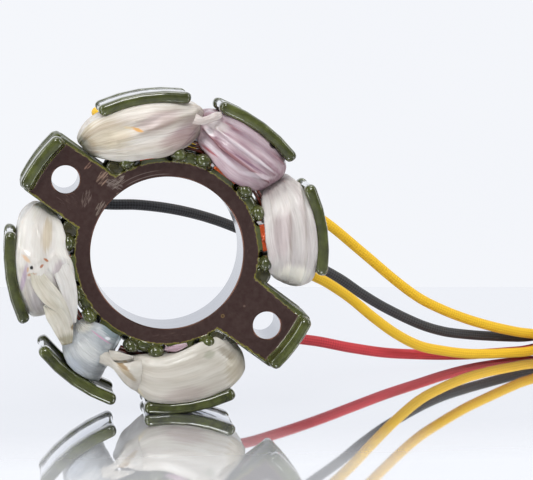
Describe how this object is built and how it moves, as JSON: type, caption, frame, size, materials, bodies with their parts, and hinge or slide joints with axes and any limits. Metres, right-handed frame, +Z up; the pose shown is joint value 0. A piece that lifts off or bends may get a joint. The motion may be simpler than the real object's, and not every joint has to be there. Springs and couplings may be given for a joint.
{
  "type": "wound stator",
  "caption": "Wound stator of a small engine's flywheel generator: a laminated steel ring with taped coils on its poles, bolt lugs, and loose braided leads that end in a plug.",
  "frame": {"origin": "centre of the bore, in the plane of the rear mounting face that seats on the crankcase", "axes": "+Y along the bore into the crankcase, +X to the right as the front is seen, +Z up as pictured; the front face looks along -Y"},
  "size_m": [0.197, 0.0824, 0.08],
  "materials": {
    "bare_steel": "bare brown steel laminations, rubbed bright at edges",
    "green_coat": "glossy olive-green epoxy powder coat, worn off the flat face",
    "copper_enamel": "orange-red enamelled copper wire",
    "tape": "varnished cream cloth tape",
    "pink_tape": "varnished translucent pink tape",
    "sleeve": "black shrunk sleeve",
    "yellow_braid": "yellow braided cloth",
    "black_braid": "black braided cloth",
    "red_braid": "red braided cloth",
    "nylon": "natural nylon",
    "tin_brass": "tinned brass"
  },
  "bodies": {
    "root": {"lamination_stack": "bare_steel", "front_end_plate": "green_coat", "rear_end_plate": "green_coat", "winding_top": "copper_enamel", "winding_top_right": "copper_enamel", "winding_right": "copper_enamel", "winding_bottom": "copper_enamel", "winding_lower_left": "copper_enamel", "winding_left": "copper_enamel", "tape_wrap_top": "tape", "tape_wrap_top_right": "pink_tape", "tape_wrap_right": "tape", "tape_wrap_bottom": "tape", "tape_wrap_lower_left": "tape", "tape_wrap_left": "tape", "tape_bridge_top": "tape", "tape_tongue": "tape", "link_tape_bottom": "tape", "splice_sleeve_yellow_upper": "sleeve", "splice_sleeve_yellow_lower": "sleeve", "splice_sleeve_black": "sleeve", "splice_sleeve_red": "sleeve", "yellow_lead_upper": "yellow_braid", "yellow_lead_lower": "yellow_braid", "black_lead": "black_braid", "red_lead": "red_braid", "lead_coil": "yellow_braid", "coil_tie_rear": "nylon", "coil_tie_front": "nylon", "lead_tail": "yellow_braid", "connector_housing": "nylon", "blade_terminal_1": "tin_brass", "blade_terminal_2": "tin_brass", "blade_terminal_3": "tin_brass", "blade_terminal_4": "tin_brass"}
  },
  "joints": []
}
